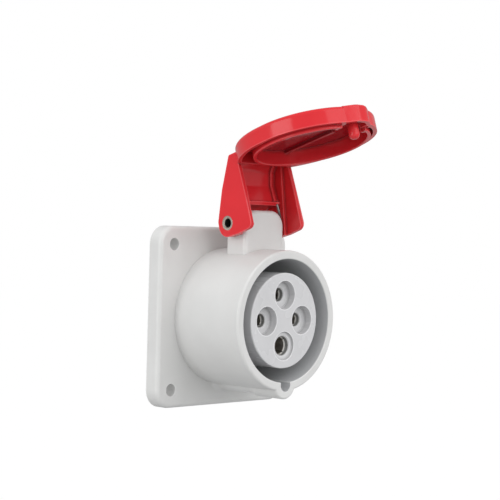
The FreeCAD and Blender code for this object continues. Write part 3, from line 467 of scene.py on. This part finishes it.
def world_light(strength, mirrored):
    """Even studio light, plain white for the camera and darker in reflections, as in a studio with dark walls."""
    daylight = (0.97, 0.985, 1.0, 1)
    world = bpy.data.worlds.new("studio")
    world.use_nodes = True
    tree = world.node_tree
    tree.nodes.clear()
    path = tree.nodes.new("ShaderNodeLightPath")
    seen = tree.nodes.new("ShaderNodeMath")
    seen.operation = "MAXIMUM"
    tree.links.new(path.outputs["Is Camera Ray"], seen.inputs[0])
    tree.links.new(path.outputs["Is Transmission Ray"], seen.inputs[1])
    light = tree.nodes.new("ShaderNodeBackground")
    light.inputs["Color"].default_value = daylight
    level = tree.nodes.new("ShaderNodeMapRange")
    level.inputs["To Min"].default_value = strength
    level.inputs["To Max"].default_value = mirrored
    tree.links.new(path.outputs["Is Glossy Ray"], level.inputs["Value"])
    tree.links.new(level.outputs[0], light.inputs["Strength"])
    white = tree.nodes.new("ShaderNodeBackground")
    white.inputs["Color"].default_value = (1, 1, 1, 1)
    white.inputs["Strength"].default_value = 1.0
    mix = tree.nodes.new("ShaderNodeMixShader")
    tree.links.new(seen.outputs[0], mix.inputs[0])
    tree.links.new(light.outputs[0], mix.inputs[1])
    tree.links.new(white.outputs[0], mix.inputs[2])
    out = tree.nodes.new("ShaderNodeOutputWorld")
    tree.links.new(mix.outputs[0], out.inputs["Surface"])
    SCENE.world = world


def floor(level):
    """Grey studio floor, well below the socket, that the camera sees as almost pure white."""
    half, grey, glow_strength, glow_share = 3.0, 0.42, 1.03, 0.95
    mesh = bpy.data.meshes.new("studio_floor")
    mesh.from_pydata([(-half, -half, level), (half, -half, level), (half, half, level), (-half, half, level)],
                     [], [(0, 1, 2, 3)])
    piece = linked("studio_floor", mesh)
    material = bpy.data.materials.new("studio_floor")
    material.use_nodes = True
    tree = material.node_tree
    tree.nodes.clear()
    paint = tree.nodes.new("ShaderNodeBsdfDiffuse")
    paint.inputs["Color"].default_value = (grey, grey, grey, 1)
    glow = tree.nodes.new("ShaderNodeEmission")
    glow.inputs["Strength"].default_value = glow_strength
    path = tree.nodes.new("ShaderNodeLightPath")
    share = tree.nodes.new("ShaderNodeMath")
    share.operation = "MULTIPLY"
    share.inputs[1].default_value = glow_share
    tree.links.new(path.outputs["Is Camera Ray"], share.inputs[0])
    mix = tree.nodes.new("ShaderNodeMixShader")
    tree.links.new(share.outputs[0], mix.inputs[0])
    tree.links.new(paint.outputs[0], mix.inputs[1])
    tree.links.new(glow.outputs[0], mix.inputs[2])
    out = tree.nodes.new("ShaderNodeOutputMaterial")
    tree.links.new(mix.outputs[0], out.inputs["Surface"])
    mesh.materials.append(material)


def camera():
    """The photograph's view: from the front left, almost level."""
    az, el, roll = math.radians(-45.704), math.radians(0.732), math.radians(1.57)
    distance, pixels_per_mm, size, sensor = 0.65, 2.357, 500, 36
    middle, shift_side, shift_up = Vector((0, -0.0068, 0)), 0.010812, 0.027856
    back = Vector((math.sin(az) * math.cos(el), -math.cos(az) * math.cos(el), math.sin(el)))
    right = Vector((math.cos(az), math.sin(az), 0))
    up = back.cross(right)
    side = right * math.cos(roll) + up * math.sin(roll)
    top = up * math.cos(roll) - right * math.sin(roll)
    place = side * shift_side + top * shift_up + middle + back * distance
    data = bpy.data.cameras.new("photo_view")
    data.sensor_width = sensor
    data.lens = pixels_per_mm * distance * 1000 * sensor / size
    data.clip_end = 20
    lens = linked("photo_view", data)
    lens.matrix_world = Matrix(((side.x, top.x, back.x, place.x), (side.y, top.y, back.y, place.y),
                                (side.z, top.z, back.z, place.z), (0, 0, 0, 1)))
    SCENE.camera = lens


housing_grey = plastic("housing_plastic", HOUSING, roughness=0.34, grain=2600, depth=0.000022, bevel=0.0003)
# Painted shade: the barrel's bore and keyway darker and cooler
tinted(housing_grey, BORE_SHADE, BORES)
# Painted highlight along sharp edges, and a faint painted shade in creases
Tree.of(housing_grey).edge_light_crease_shade(edge=0.0005, gain=1.2, highlight_colour=HOUSING_HIGHLIGHT, crease=0.0012, loss=0.08)
give(housing_grey, "housing")

insert_grey = plastic("insert_plastic", INSERT, roughness=0.26, grain=3200, depth=0.000014, bevel=0.0002)
# The insert's entries dark grey on their walls
tinted(insert_grey, ENTRY_WALL_GREY, ENTRIES)
# Painted highlight along sharp edges and painted shade in creases
Tree.of(insert_grey).edge_light_crease_shade(edge=0.0005, gain=1.6, highlight_colour=INSERT_HIGHLIGHT, crease=0.0009, loss=0.8)
give(insert_grey, "contact_carrier")
block_grey = plastic("block_plastic", INSERT, roughness=0.3, grain=3200, depth=0.000014, bevel=0.0002)
give(block_grey, "terminal_block")

lid_red = red_plastic()
give(lid_red, "lid")
hood_end(lid_red)

contact_metal = turned_metal("contact_metal", CONTACT, 0.42, along=(0.15, 4, 0.15))
give(contact_metal, "earth_contact", *numbered("phase_contact", 3))
spring_steel = turned_metal("spring_steel", STEEL, 0.3)
give(spring_steel, "lid_spring", *numbered("grip_ring", 4))
lid_spring(spring_steel)
screw_zinc = turned_metal("screw_zinc", ZINC, 0.34)
give(screw_zinc, "centre_screw", *numbered("terminal_screw", 4), *numbered("ear_screw", 2))
give(plated_tube(), "hinge_pin")
give(rubber(), "panel_gasket")

camera()
floor(level=-0.14)
world_light(strength=1.08, mirrored=0.4)
area_light("key", azimuth=12, elevation=34, distance=0.9, width=0.8, height=0.7, power=2.2)
area_light("side", azimuth=-98, elevation=4, distance=1.1, width=0.7, height=0.8, power=4.1)
area_light("front", azimuth=-12, elevation=12, distance=1.1, width=0.6, height=0.6, power=1.3)
SCENE.view_settings.view_transform = "Standard"
